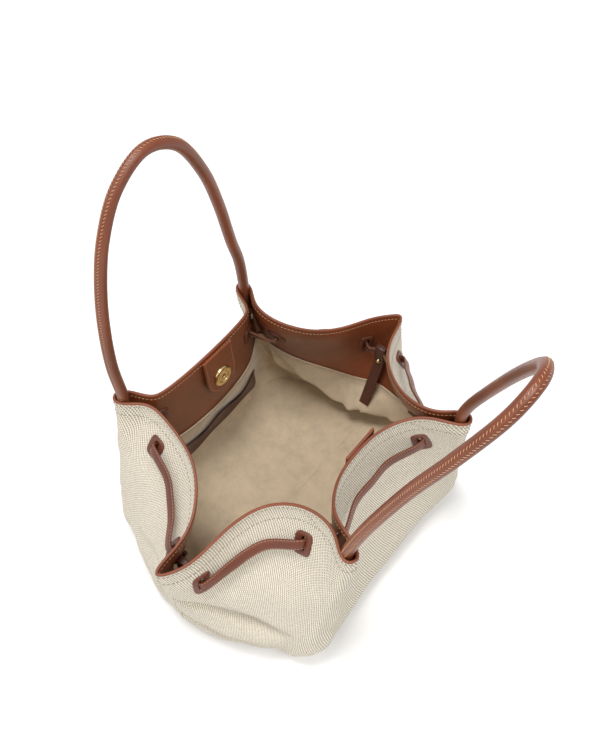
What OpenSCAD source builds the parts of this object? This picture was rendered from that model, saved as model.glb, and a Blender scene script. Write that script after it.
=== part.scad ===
// Soft bucket bag: canvas shell, leather facing, drawstring, two rolled handles.
// Millimetres. +X runs along the two main walls, the front wall faces -Y, +Z is up.
// The origin is on the underside of the base, at its centre.

/* [Mouth] */
// Height of the near front, near back, far back and far front handle corners
corner_z = [208, 191, 188, 198]; // [170:1:230]
// Height of the rim at the two side valleys
valley_z = 150; // [120:1:170]
// Half distance between the two side valleys
valley_x = 191; // [180:1:196]
// Half distance between the handle centres along a wall
ear_x = 88; // [84:1:92]
// Distance of the handle centres from the centre plane
ear_y = 133; // [130:1:137]
// Half distance between the stitched pinches along a wall
pinch_x = 75; // [72:1:78]
// Distance of the stitched pinches from the centre plane
pinch_y = 112; // [108:1:114]
// How far the front wall's rim bows inward
front_bow = 34; // [20:1:38]
// How far the back wall's rim bows inward
back_bow = 4; // [0:1:12]
// How far the front wall's rim dips between its two handle corners
front_sag = 9; // [4:1:12]
// How far the back wall's rim dips between its two handle corners
back_sag = 4; // [2:1:12]

/* [Body] */
// Distance of the base edge from the centre plane
base_y = 122; // [118:1:126]
// Half length of the base at its bowed ends
base_end = 166; // [160:1:170]

/* [Layers] */
// Thickness of the canvas
canvas_t = 1.2; // [0.8:0.1:1.4]
// Thickness of the leather facing
facing_t = 1.1; // [0.8:0.1:1.2]
// Thickness of the lining cloth
lining_t = 0.8; // [0.6:0.1:1]
// Clearance between neighbouring layers
gap = 0.3; // [0.2:0.05:0.4]
// Height of the leather facing band
facing_h = 96; // [85:1:100]

/* [Handles] */
// Outer diameter of a rolled handle
handle_d = 11; // [10:0.5:11.5]
// Diameter of the cord core inside a handle
core_d = 6; // [4:0.5:7]

/* [Drawstring] */
// Width of the drawstring strap
strap_w = 10; // [8:0.5:11]
// Thickness of the drawstring strap
strap_t = 1.8; // [1.4:0.1:2]
// Height of a slot patch
patch_h = 25; // [22:1:26]
// Width of a slot patch
patch_w = 18; // [16:1:19]

/* [Closure] */
// Width of a snap tab
tab_w = 42; // [36:1:46]
// Length of a snap tab from its seam to its round end
tab_len = 55; // [52:1:62]
// Diameter of a magnetic snap
snap_d = 24; // [20:1:26]

/* [Hidden] */

// ---- Bag surface: a net of control points, smoothed by uniform cubic B-splines ----
// Columns of one quarter: 0-2 wall, 3 pinch, 4-7 round the handle corner, 8 pinch,
// 9-12 side lobe, 13 shoulder of the valley, 14 the side seam in the valley.
LAST = 14;
COLS = 4 * LAST;
// Height of each row of the net, as a fraction of the way from the rim to the base
ROW_V = [0, 0.10, 0.30, 0.52, 0.74, 0.92, 1];
// Plan of each row: wall distance, corner x, corner y, end x, corner radius
PLAN = [[126, 106, 140, 186, 16], [126, 106, 140, 186, 16], [124, 113, 141, 188, 20],
        [124, 123, 140, 178, 26], [128, 138, 139, 177, 30], [128, 141, 136, 176, 34],
        [base_y, 134, base_y, base_end, 38]];
// How much of the mouth's plan is left in each row, for walls, corners and lobes
WALL_MIX = [1, 0.98, 0.66, 0.30, 0, 0, 0];
EAR_MIX = [1, 0.97, 0.20, 0, 0, 0, 0];
LOBE_MIX = [1, 0.97, 0.52, 0.14, 0, 0, 0];
// Places along a lobe, and how far each lobe bows inward there:
// near front, near back, far back, far front
LOBE_T = [0.17, 0.40, 0.63, 0.83];
LOBE_BOW = [[27, 40, 29, 5], [17, 40, 40, 30], [23, 31, 20, 3], [23, 29, 27, 17]];
neck = 3.7;
ear_r = 9.4;

function unit(a) = a / max(norm(a), 1e-9);
function mix(a, b, t) = a + (b - a) * t;
// Quarter number: 0 near front, 1 near back, 2 far back, 3 far front
function sign_x(q) = q == 0 || q == 1 ? -1 : 1;
function sign_y(q) = q == 0 || q == 3 ? -1 : 1;
function wall_z(q) = sign_y(q) < 0 ? (corner_z[0] + corner_z[3]) / 2 - front_sag
                                   : (corner_z[1] + corner_z[2]) / 2 - back_sag;
function plan_point(c, p) =
    c <= 2 ? let(x = (p[1] - p[4]) * [0, 0.38, 0.76][c]) [x, p[0] + (p[2] - p[0]) * pow(x / p[1], 2)]
    : c <= 8 ? let(a = 90 * (c - 3) / 5) [p[1] - p[4] + p[4] * sin(a), p[2] - p[4] + p[4] * cos(a)]
    : let(y = (p[2] - p[4]) * (1 - (c - 8) / 6)) [p[3] + (p[1] - p[3]) * pow(y / (p[2] - p[4]), 2), y];
pinch = [pinch_x, pinch_y];
ear = [ear_x, ear_y];
ear_dir = unit(ear - pinch);
ear_side = [-ear_dir[1], ear_dir[0]];
shoulder = [valley_x - 6, 7];
function mouth_point(c, q) =
    c <= 2 ? let(x = pinch_x * [0, 0.42, 0.80][c])
        [x, pinch_y - (sign_y(q) < 0 ? front_bow : back_bow) * (1 - pow(x / pinch_x, 3))]
    : c == 3 ? pinch + ear_side * neck - ear_dir
    : c == 4 ? ear + ear_side * ear_r - ear_dir * 4
    : c == 5 ? ear + ear_side * ear_r * 0.75 + ear_dir * ear_r * 1.15
    : c == 6 ? ear - ear_side * ear_r * 0.75 + ear_dir * ear_r * 1.15
    : c == 7 ? ear - ear_side * ear_r - ear_dir * 4
    : c == 8 ? pinch - ear_side * neck - ear_dir
    : c <= 12 ? pinch + (shoulder - pinch) * LOBE_T[c - 9] + [-0.70, -0.714] * LOBE_BOW[q][c - 9]
    : c == 13 ? shoulder : [valley_x, 0];
function rim_z(c, q) =
    c <= 2 ? mix(wall_z(q), corner_z[q], pow(c / 3, 2))
    : c <= 8 ? corner_z[q]
    : let(t = c <= 12 ? LOBE_T[c - 9] : 1) mix(corner_z[q], valley_z, t * t * (3 - 2 * t));
function net_point(c, row, q) =
    let(m = (c <= 2 ? WALL_MIX : c <= 8 ? EAR_MIX : LOBE_MIX)[row],
        xy = mix(plan_point(c, PLAN[row]), mouth_point(c, q), m))
    [sign_x(q) * xy[0], sign_y(q) * xy[1], rim_z(c, q) * (1 - ROW_V[row])];
// Round the bag: front centre, near valley, back centre, far valley
function net_at(i, row) =
    let(k = i % COLS, q = floor(k / LAST), r = k % LAST)
    net_point(q % 2 == 0 ? r : LAST - r, row, q);
NET = [for (row = [0:len(ROW_V) - 1]) [for (i = [0:COLS - 1]) net_at(i, row)]];
TOP_ROW = [for (i = [0:COLS - 1]) 2 * NET[0][i] - NET[1][i]];
LOW_ROW = [for (i = [0:COLS - 1]) 2 * NET[6][i] - NET[5][i]];
ROWS = concat([TOP_ROW], NET, [LOW_ROW]);
function weights(t) = [pow(1 - t, 3), 3 * t * t * t - 6 * t * t + 4,
                       -3 * t * t * t + 3 * t * t + 3 * t + 1, t * t * t] / 6;
function row_point(row, iu, wu) =
    row[iu % COLS] * wu[0] + row[(iu + 1) % COLS] * wu[1]
    + row[(iu + 2) % COLS] * wu[2] + row[(iu + 3) % COLS] * wu[3];
// Point of the outer surface: u counts columns round the bag, r counts rows down
function surf(u, r) =
    let(uu = u + COLS - 1, iu = floor(uu), wu = weights(uu - iu),
        iv = min(floor(r), 5), wv = weights(r - iv))
    row_point(ROWS[iv], iu, wu) * wv[0] + row_point(ROWS[iv + 1], iu, wu) * wv[1]
    + row_point(ROWS[iv + 2], iu, wu) * wv[2] + row_point(ROWS[iv + 3], iu, wu) * wv[3];
EPS = 0.02;
function across(u, r) = (surf(u + EPS, r) - surf(u - EPS, r)) / (2 * EPS);
function down(u, r) = let(a = max(r - EPS, 0), b = min(r + EPS, 6)) (surf(u, b) - surf(u, a)) / (b - a);
function outward(u, r) = unit(cross(across(u, r), down(u, r)));
// Point at depth d under the outer surface; a negative d stands proud of it
function skin(u, r, d) = surf(u, r) - outward(u, r) * d;
// Row at a drop h below the rim of column u, and row at a height z
function row_of(v) = lookup(v, [for (k = [0:6]) [ROW_V[k], k]]);
function row_below_rim(u, h) = row_of(h / surf(u, 0)[2]);
function row_at_height(u, z) = row_of(1 - z / surf(u, 0)[2]);

FRONT = [-LAST + 0.02, LAST - 0.02];
BACK = [LAST + 0.02, 3 * LAST - 0.02];
function steps(span, n) = [for (i = [0:n]) mix(span[0], span[1], i / n)];

// ---- Solid builders ----
// Closed solid between two matching grids of points
module slab(outer, inner) {
    nr = len(outer);
    nc = len(outer[0]);
    off = nr * nc;
    pts = concat([for (row = outer) each row], [for (row = inner) each row]);
    function at(i, j) = i * nc + j;
    faces = concat(
        [for (i = [0:nr - 2], j = [0:nc - 2]) each [[at(i, j), at(i + 1, j), at(i + 1, j + 1)],
                                                   [at(i, j), at(i + 1, j + 1), at(i, j + 1)]]],
        [for (i = [0:nr - 2], j = [0:nc - 2]) each [[off + at(i, j), off + at(i + 1, j + 1), off + at(i + 1, j)],
                                                   [off + at(i, j), off + at(i, j + 1), off + at(i + 1, j + 1)]]],
        [for (j = [0:nc - 2]) each [[at(0, j), at(0, j + 1), off + at(0, j + 1)],
                                    [at(0, j), off + at(0, j + 1), off + at(0, j)],
                                    [at(nr - 1, j), off + at(nr - 1, j + 1), at(nr - 1, j + 1)],
                                    [at(nr - 1, j), off + at(nr - 1, j), off + at(nr - 1, j + 1)]]],
        [for (i = [0:nr - 2]) each [[at(i, 0), off + at(i, 0), off + at(i + 1, 0)],
                                    [at(i, 0), off + at(i + 1, 0), at(i + 1, 0)],
                                    [at(i, nc - 1), at(i + 1, nc - 1), off + at(i + 1, nc - 1)],
                                    [at(i, nc - 1), off + at(i + 1, nc - 1), off + at(i, nc - 1)]]]);
    polyhedron(pts, [for (f = faces) [f[0], f[1], f[2]]], convexity = 10);
}
// Solid swept through a list of matching rings, open with end caps or closed on itself
module sweep(rings, loop = false) {
    n = len(rings);
    m = len(rings[0]);
    last = loop ? n - 1 : n - 2;
    sides = [for (i = [0:last], j = [0:m - 1])
        let(a = i * m + j, b = i * m + (j + 1) % m, c = ((i + 1) % n) * m + j, d = ((i + 1) % n) * m + (j + 1) % m)
        each [[a, b, d], [a, d, c]]];
    caps = loop ? [] : [[for (j = [m - 1:-1:0]) j], [for (j = [0:m - 1]) (n - 1) * m + j]];
    polyhedron([for (r = rings) each r], concat(sides, caps), convexity = 10);
}
// Hollow tube between two matching lists of rings
module tube(outer, inner) {
    n = len(outer);
    m = len(outer[0]);
    off = n * m;
    walls = [for (i = [0:n - 2], j = [0:m - 1])
        let(a = i * m + j, b = i * m + (j + 1) % m, c = a + m, d = b + m)
        each [[a, b, d], [a, d, c], [off + a, off + d, off + b], [off + a, off + c, off + d]]];
    ends = [for (j = [0:m - 1])
        let(k = (j + 1) % m, z = (n - 1) * m)
        each [[j, off + j, off + k], [j, off + k, k],
              [z + j, off + z + k, off + z + j], [z + j, z + k, off + z + k]]];
    polyhedron(concat([for (r = outer) each r], [for (r = inner) each r]), concat(walls, ends), convexity = 10);
}
// Curve through points, and its direction
function curve_at(p, t, loop) =
    let(n = len(p), i = min(floor(t), loop ? n - 1 : n - 2), f = t - i,
        a = loop ? p[(i + n - 1) % n] : i > 0 ? p[i - 1] : 2 * p[0] - p[1],
        b = p[i], c = p[(i + 1) % n],
        d = loop ? p[(i + 2) % n] : i + 2 < n ? p[i + 2] : 2 * p[n - 1] - p[n - 2])
    0.5 * (2 * b + (c - a) * f + (2 * a - 5 * b + 4 * c - d) * f * f + (3 * b - a - 3 * c + d) * f * f * f);
function curve(p, per, loop = false) =
    [for (i = [0:(loop ? len(p) : len(p) - 1) * per - (loop ? 1 : 0)]) curve_at(p, i / per, loop)];
function heading(c, i, loop = false) =
    let(n = len(c)) unit(c[loop ? (i + 1) % n : min(i + 1, n - 1)] - c[loop ? (i + n - 1) % n : max(i - 1, 0)]);
// Round rings along a curve; side keeps them from twisting
function round_rings(c, d, sides, side) =
    [for (i = [0:len(c) - 1]) let(h = heading(c, i), a = unit(cross(h, side)), b = cross(h, a))
        [for (k = [0:sides - 1]) c[i] + (a * cos(360 * k / sides) + b * sin(360 * k / sides)) * d / 2]];
// Flat strap rings along a closed curve, with the strap's width as near as it can to the given directions
function strap_rings(c, tops, w, t) =
    [for (i = [0:len(c) - 1]) let(h = heading(c, i, true), s = unit(cross(h, tops[i])), up = cross(s, h))
        [c[i] + up * w / 2 + s * t / 2, c[i] - up * w / 2 + s * t / 2,
         c[i] - up * w / 2 - s * t / 2, c[i] + up * w / 2 - s * t / 2]];

// ---- Slack of the inner layers ----
// The facing and the lining hang free of the canvas, most of all at the gussets:
// [column, spread in columns, hang at the facing's lower edge, extra belly of the lining]
HANG = [[0, 2.6, 8, 0], [14, 4.5, 14, 24], [28, 2.6, 9, 0], [40.5, 5, 26, 30]];
least_hang = 3;
lining_floor = 4.2;
function cols_from(u, c) = let(k = (u - c + 2.5 * COLS) % COLS) k - COLS / 2;
function hang_sum(u, k) = [for (h = HANG) h[k] * exp(-pow(cols_from(u, h[0]) / h[1], 2))] * [1, 1, 1, 1];
function slack(u, z) =
    let(rim = surf(u, 0)[2], drop = (rim - z) / facing_h, hang = least_hang + hang_sum(u, 2),
        t = max(0, min(1, (drop - 1) * facing_h / (rim - facing_h - lining_floor - 1))))
    drop < 1 ? hang * pow(max(drop, 0), 1.2) : hang * (1 - t) + hang_sum(u, 3) * sin(180 * t);
// Point of an inner layer at depth d under the canvas's outer face
function inner_skin(u, r, d) = skin(u, r, d + slack(u, surf(u, r)[2]));

// ---- Slots and the drawstring's way through them ----
// Slot places: columns from the quarter's wall centre, all the same drop below the rim
SLOT_DROP = 35;
SLOT_COLS = [2.3, 8.8, 11.9];
function loop_col(q, c) = q % 2 == 0 ? q * LAST + c : (q + 1) * LAST - c;
FRONT_SLOTS = [for (q = [0, 3], c = SLOT_COLS) loop_col(q, c)];
BACK_SLOTS = [for (q = [1, 2], c = SLOT_COLS) loop_col(q, c)];
function slot_row(u) = row_below_rim(u, SLOT_DROP);
// Point a mm round the bag and b mm down from a slot's centre, at depth d
function by_slot(u, a, b, d) =
    let(r = slot_row(u), u2 = u + a / norm(across(u, r)), r2 = r + b / norm(down(u, r)))
    d < facing_in ? skin(u2, r2, d) : inner_skin(u2, r2, d);
function blunt(v) = sign(v) * sqrt(abs(v));
// Outline of a patch: a rectangle with well rounded corners
function patch_edge(a) = [patch_w / 2 * blunt(cos(a)), patch_h / 2 * blunt(sin(a))];
function oval(w, h, a) = let(r = w / 2, s = sin(a)) [r * cos(a), r * s + (h / 2 - r) * sign(s) * min(1, abs(s) * 3)];
module slot_patch(u, depth, thick) {
    steps = 16;
    sweep([for (i = [0:steps - 1]) let(a = 360 * (i + 0.5) / steps,
            o = patch_edge(a), n = oval(6.5, strap_w + 7, a))
        [by_slot(u, n[0], n[1], depth), by_slot(u, n[0], n[1], depth + thick),
         by_slot(u, o[0], o[1], depth + thick), by_slot(u, o[0], o[1], depth)]], true);
}
module slot_cut(u) {
    r = slot_row(u);
    n = outward(u, r);
    x = unit(across(u, r));
    y = unit(cross(n, x));
    p = surf(u, r);
    multmatrix([[x[0], y[0], n[0], p[0]], [x[1], y[1], n[1], p[1]], [x[2], y[2], n[2], p[2]]])
        cube([6, strap_w + 5, 36], center = true);
}
// Order of the slots round the bag, and how far the strap's centre lies outside and inside
SLOT_LOOP = [for (q = [0:3], i = [0:2]) loop_col(q, SLOT_COLS[q % 2 == 0 ? i : 2 - i])];
strap_out = 4.5;
strap_in = 8;
// From slot i the strap runs inside or outside to slot i + 1
function over_skin(u1, u2, t, d) = let(u = mix(u1, u2, t)) skin(u, row_below_rim(u, SLOT_DROP), d);
function valley_stop(s) = [s * (valley_x - 33), 0, 117];
// One pass of the strap: out of slot a, across the panel, and in at slot b
function outside_run(a, b, bulge) =
    [by_slot(a, 0, 0, strap_in), by_slot(a, 0, 0, -strap_out), over_skin(a, b, 0.3, -bulge * 0.85),
     over_skin(a, b, 0.5, -bulge), over_skin(a, b, 0.7, -bulge * 0.85),
     by_slot(b, 0, 0, -strap_out), by_slot(b, 0, 0, strap_in)];
// Which way the strap's upper edge points at each of those places
function run_tops(a, b) =
    [for (t = [0, 0, 0.3, 0.5, 0.7, 1, 1]) let(u = mix(a, b, t)) -unit(down(u, slot_row(u)))];
UP = [0, 0, 1];
module strap_loop() {
    f = SLOT_LOOP;
    route = concat(
        outside_run(f[1], f[2], 9), [valley_stop(-1)],
        outside_run(f[3], f[4], 9),
        outside_run(f[5], f[6], 13),
        outside_run(f[7], f[8], 9), [valley_stop(1)],
        outside_run(f[9], f[10], 11),
        outside_run(f[11], f[0] + COLS, 12));
    tops = concat(
        run_tops(f[1], f[2]), [UP], run_tops(f[3], f[4]), run_tops(f[5], f[6]),
        run_tops(f[7], f[8]), [UP], run_tops(f[9], f[10]), run_tops(f[11], f[0] + COLS));
    sweep(strap_rings(curve(route, 3, true), curve(tops, 3, true), strap_w, strap_t), true);
}

// ---- Handles: each route rises from one handle corner and falls to the other ----
back_route = [[-88, 133, 198], [-90, 134, 245], [-86, 135, 296], [-77, 137, 340], [-63, 138, 382],
              [-39, 140, 416], [-4, 141, 432], [30, 140, 415], [53, 138, 372], [66, 136, 325],
              [76, 134, 270], [84, 133, 235], [88, 133, 195]];
front_route = [[-88, -133, 215], [-84, -146, 268], [-71, -166, 328], [-57, -187, 378], [-36, -205, 420],
               [-10, -210, 435], [16, -204, 421], [38, -192, 386], [62, -173, 330], [82, -151, 264],
               [88, -138, 226], [88, -133, 205]];
module handle_wrap(route) {
    c = curve(route, 3);
    tube(round_rings(c, handle_d, 12, [0, 1, 0]), round_rings(c, core_d + 0.6, 12, [0, 1, 0]));
}
module handle_core(route) {
    sweep(round_rings(curve(route, 3), core_d, 8, [0, 1, 0]));
}
// Sewn-in end of a handle, from inside the corner to just above the rim
module handle_end(q) {
    translate([sign_x(q) * ear_x, sign_y(q) * ear_y, corner_z[q] - 26])
        cylinder(d = handle_d - 3.4, h = 27, $fn = 48);
}

// ---- Sub-parts ----
// Rows of the canvas: down to the facing's lower edge, then to the base; both layers share the upper ones
function cloth_row(u, i) =
    let(r = row_below_rim(u, facing_h)) i <= 5 ? r * i / 5 : mix(r, row_at_height(u, 2.4), (i - 5) / 6);
function canvas_layer(span, d) = [for (i = [0:11]) [for (u = steps(span, 56)) skin(u, cloth_row(u, i), d)]];
function facing_layer(span, d) = [for (i = [0:5]) [for (u = steps(span, 56)) inner_skin(u, cloth_row(u, i), d)]];
canvas_in = canvas_t;
facing_out = canvas_in + gap;
facing_in = facing_out + facing_t;
lining_out = facing_in + gap;
lining_in = lining_out + lining_t;

module canvas_panel(span, slots) {
    difference() {
        slab(canvas_layer(span, 0), canvas_layer(span, canvas_in));
        for (u = slots) slot_cut(u);
    }
}
module canvas_front_panel() { color("#cfc4ac") canvas_panel(FRONT, FRONT_SLOTS); }
module canvas_back_panel() { color("#cfc4ac") canvas_panel(BACK, BACK_SLOTS); }

// Outline of the base, inset from its edge
function base_outline(inset) = [for (u = steps([0, COLS], 56)) if (u < COLS) let(p = skin(u, 6, 0))
    [p[0], p[1]] - unit([p[0] / base_end, p[1] / base_y]) * inset];
module canvas_base_panel() { color("#c4b99f") linear_extrude(1.4) polygon(base_outline(1)); }
module base_board() { color("#8a7a60") translate([0, 0, 1.6]) linear_extrude(2) polygon(base_outline(9)); }

// Lining: two panels, each with its half of the base, sewn along the centre of the base
function lining_layer(span, d) =
    [for (i = [0:8]) [for (u = steps(span, 56))
        let(r = mix(row_below_rim(u, facing_h + 0.5), row_at_height(u, lining_floor + 1), i / 8))
        inner_skin(u, r, d)]];
module lining_panel(span, side) {
    slab(lining_layer(span, lining_out), lining_layer(span, lining_in));
    intersection() {
        translate([0, 0, lining_floor]) linear_extrude(lining_t) polygon(base_outline(5));
        translate([0, side * 150.1, 0]) cube([400, 300, 20], center = true);
    }
}
module lining_front_panel() { color("#bfae8c") lining_panel(FRONT, -1); }
module lining_back_panel() { color("#bfae8c") lining_panel(BACK, 1); }

module facing_band(span, slots) {
    difference() {
        slab(facing_layer(span, facing_out), facing_layer(span, facing_in));
        for (u = slots) slot_cut(u);
    }
}
module facing_front_band() { color("#8a4a2c") facing_band(FRONT, FRONT_SLOTS); }
module facing_back_band() { color("#8a4a2c") facing_band(BACK, BACK_SLOTS); }

// Leather edge that caps the canvas and the facing along the rim
binding_h = 2;
module rim_binding(span) {
    sweep([for (u = steps(span, 70)) let(n = outward(u, 0), up = -unit(down(u, 0)), p = surf(u, 0) + up * 0.1)
        [p, p + up * binding_h * 0.7, p - n * facing_in * 0.3 + up * binding_h,
         p - n * facing_in * 0.7 + up * binding_h, p - n * facing_in + up * binding_h * 0.7, p - n * facing_in]]);
}
module front_rim_binding() { color("#9a5433") rim_binding(FRONT); }
module back_rim_binding() { color("#9a5433") rim_binding(BACK); }

module front_slot_patches() { color("#7d4128") for (u = FRONT_SLOTS) slot_patch(u, -1.7, 1.1); }
module back_slot_patches() { color("#7d4128") for (u = BACK_SLOTS) slot_patch(u, -1.7, 1.1); }
module front_inner_patches() { color("#7d4128") for (u = FRONT_SLOTS) slot_patch(u, facing_in + 0.6, 1.1); }
module back_inner_patches() { color("#7d4128") for (u = BACK_SLOTS) slot_patch(u, facing_in + 0.6, 1.1); }
module drawstring() { color("#8f4e31") strap_loop(); }

// Cinch tab: a strap folded round the drawstring, riveted under it, its tail in the lining
cinch_w = 12;
cinch_t = 1.3;
cinch_room = 1.8;
module cinch_tab(s) {
    stop = valley_stop(s);
    r = strap_t / 2 + cinch_room + cinch_t / 2;
    h = strap_w / 2 + cinch_room + cinch_t / 2;
    tail = [s > 0 ? -24.5 : 15, 0, -71];
    route = [stop + [s * r, 0, -h - 12], stop + [s * r, 0, -h], stop + [s * r, 0, h - 1], stop + [0, 0, h + 0.6],
             stop + [-s * r, 0, h - 1], stop + [-s * r, 0, -h], stop + [-s * r, 0, -h - 12], stop + tail];
    rings = [for (i = [0:len(route) - 1]) let(d = heading(route, i), a = cross(d, [0, 1, 0]) * cinch_t / 2)
        [route[i] + [0, cinch_w / 2, 0] + a, route[i] + [0, -cinch_w / 2, 0] + a,
         route[i] + [0, -cinch_w / 2, 0] - a, route[i] + [0, cinch_w / 2, 0] - a]];
    difference() {
        sweep(rings);
        cinch_axis(s) cylinder(d = 3.2, h = 30, center = true, $fn = 32);
    }
}
module cinch_axis(s) {
    translate(valley_stop(s) + [0, 0, -strap_w / 2 - 7.5]) rotate([0, s * -90, 0]) children();
}
module cinch_rivet(s) {
    r = strap_t / 2 + cinch_room + cinch_t + 0.25;
    cinch_axis(s) {
        cylinder(d = 2.8, h = 2 * r, center = true, $fn = 32);
        translate([0, 0, r]) rotate_extrude($fn = 32) polygon([[0, 0], [2.7, 0], [2.5, 0.8], [1.6, 1.6], [0, 1.9]]);
        translate([0, 0, -r - 0.8]) cylinder(d = 5, h = 0.8, $fn = 32);
    }
}
module near_cinch_tab() { color("#5a2f20") cinch_tab(-1); }
module far_cinch_tab() { color("#5a2f20") cinch_tab(1); }
module near_cinch_rivet() { color("#c9a24e") cinch_rivet(-1); }
module far_cinch_rivet() { color("#c9a24e") cinch_rivet(1); }

// Piping along the lining's turned top edge
module lining_top_piping() {
    color("#c8b996") sweep([for (u = steps([0, COLS - 1], COLS * 1.5 - 1))
        let(r = row_below_rim(u, facing_h - 2.5), p = inner_skin(u, r, facing_in + gap + 1.6),
            n = outward(u, r), d = unit(down(u, r)))
        [for (k = [0:5]) p + n * cos(60 * k) * 0.8 + d * sin(60 * k) * 0.8]], true);
}

// Slip pocket on the back wall's lining
pocket_z = [22, 66];
module slip_pocket() {
    n = 6;
    us = steps([2 * LAST - 1.25, 2 * LAST + 2.1], n);
    color("#55301f") slab(
        [for (i = [0:2]) [for (u = us) inner_skin(u, row_at_height(u, mix(pocket_z[1], pocket_z[0], i / 2)), lining_in + gap + 0.6)]],
        [for (i = [0:2]) [for (u = us) inner_skin(u, row_at_height(u, mix(pocket_z[1], pocket_z[0], i / 2)), lining_in + gap + 1.9)]]);
}

// Thread bars that hold each handle corner closed, just under the handle's end
module ear_bar_tacks() {
    color("#e4dcc6") for (q = [0:3]) let(p = [sign_x(q) * pinch_x, sign_y(q) * pinch_y, corner_z[q] - 16])
        translate(p) rotate([0, 0, atan2(sign_y(q) * ear_side[1], sign_x(q) * ear_side[0])])
            cube([1.4, 1, 6], center = true);
}

module back_handle_ends() { color("#8f4e31") for (q = [1, 2]) handle_end(q); }
module front_handle_ends() { color("#8f4e31") for (q = [0, 3]) handle_end(q); }
module back_handle_wrap() { color("#94512f") handle_wrap(back_route); }
module back_handle_core() { color("#d8cdb4") handle_core(back_route); }
module front_handle_wrap() { color("#94512f") handle_wrap(front_route); }
module front_handle_core() { color("#d8cdb4") handle_core(front_route); }

// ---- Snap tabs: each hangs from the rim's seam against the facing ----
tab_t = 2.6;
back_tab_tilt = 5;
tab_x = 11;
// Front face of a tab, and the axis along its seam
function tab_face(side) = abs(surf(side > 0 ? 2 * LAST : 0, row_below_rim(0, 4))[1]) - facing_in - 1.4 - tab_t;
function tab_top(side) = wall_z(side > 0 ? 1 : 0) - 3;
snap_z = tab_len - tab_w / 2;
module place_tab(side) {
    translate([tab_x, side * tab_face(side), tab_top(side)])
        rotate([side > 0 ? -back_tab_tilt : 0, 0, 0]) rotate([0, 0, side > 0 ? 180 : 0]) rotate([-90, 0, 0]) children();
}
module snap_tab(side) {
    place_tab(side) difference() {
        mirror([0, 0, 1]) linear_extrude(tab_t) hull() {
            translate([-tab_w / 2 + 3, 1, 0]) square([tab_w - 6, 1]);
            translate([0, snap_z]) circle(d = tab_w, $fn = 64);
        }
        translate([0, snap_z, -tab_t / 2 - 0.6]) cylinder(d = snap_d, h = 1.2, $fn = 48);
        translate([0, snap_z, -tab_t - 1]) cylinder(d = 6, h = tab_t + 2, $fn = 32);
    }
}
module snap_washer(side) {
    place_tab(side) translate([0, snap_z, -tab_t / 2 - 0.5]) difference() {
        cylinder(d = snap_d - 1, h = 1, $fn = 48);
        translate([0, 0, -1]) cylinder(d = 5, h = 3, $fn = 32);
    }
}
module back_snap_tab() { color("#8a4a2c") snap_tab(1); }
module front_snap_tab() { color("#8a4a2c") snap_tab(-1); }
module back_snap_washer() { color("#b8b8b4") snap_washer(1); }
module front_snap_washer() { color("#b8b8b4") snap_washer(-1); }
// Socket half, with the hole that the stud drops into
module back_snap_socket() {
    color("#c9a24e") place_tab(1) translate([0, snap_z, 0.05]) rotate_extrude($fn = 64)
        polygon([[3, 0], [snap_d / 2, 0], [snap_d / 2, 1.6], [snap_d / 2 - 0.8, 2.4], [4, 2.4], [3, 1.8]]);
}
module front_snap_stud() {
    color("#c9a24e") place_tab(-1) translate([0, snap_z, 0.05]) rotate_extrude($fn = 64)
        polygon([[0, 0], [snap_d / 2, 0], [snap_d / 2, 1], [snap_d / 2 - 0.8, 1.6], [3, 1.6], [2.6, 3], [0, 3]]);
}

canvas_front_panel();
canvas_back_panel();
canvas_base_panel();
base_board();
lining_front_panel();
lining_back_panel();
facing_front_band();
facing_back_band();
front_rim_binding();
back_rim_binding();
front_slot_patches();
back_slot_patches();
front_inner_patches();
back_inner_patches();
drawstring();
near_cinch_tab();
far_cinch_tab();
near_cinch_rivet();
far_cinch_rivet();
lining_top_piping();
slip_pocket();
ear_bar_tacks();
back_handle_ends();
front_handle_ends();
back_handle_wrap();
back_handle_core();
front_handle_wrap();
front_handle_core();
back_snap_tab();
back_snap_washer();
back_snap_socket();
front_snap_tab();
front_snap_washer();
front_snap_stud();
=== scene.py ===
"""Soft canvas bucket bag with leather trim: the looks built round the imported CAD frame."""

import math

import bpy
import numpy as np
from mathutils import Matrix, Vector


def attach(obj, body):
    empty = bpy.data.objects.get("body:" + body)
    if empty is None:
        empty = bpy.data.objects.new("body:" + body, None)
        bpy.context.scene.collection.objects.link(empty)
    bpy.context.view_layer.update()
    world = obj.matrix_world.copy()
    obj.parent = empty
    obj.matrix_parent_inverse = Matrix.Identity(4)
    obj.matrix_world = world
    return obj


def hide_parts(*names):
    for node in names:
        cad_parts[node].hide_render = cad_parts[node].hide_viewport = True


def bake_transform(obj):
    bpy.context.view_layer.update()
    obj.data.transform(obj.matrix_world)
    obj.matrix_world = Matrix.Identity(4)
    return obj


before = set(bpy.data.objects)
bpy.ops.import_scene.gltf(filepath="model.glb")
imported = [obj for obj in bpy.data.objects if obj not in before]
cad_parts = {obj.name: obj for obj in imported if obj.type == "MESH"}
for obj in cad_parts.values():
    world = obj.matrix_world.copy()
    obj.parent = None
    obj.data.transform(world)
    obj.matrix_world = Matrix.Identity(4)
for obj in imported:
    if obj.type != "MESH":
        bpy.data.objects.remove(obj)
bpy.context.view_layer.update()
MM = 0.001

# ---------------------------------------------------------------- camera
CAMERA_AT = Vector((-0.3509, -0.2877, 0.8919))
CAMERA_AZ, CAMERA_EL = math.radians(-51.46), math.radians(54.56)
FOCAL_PX, LONG_SIDE_PX = 884.0, 742.0


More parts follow.
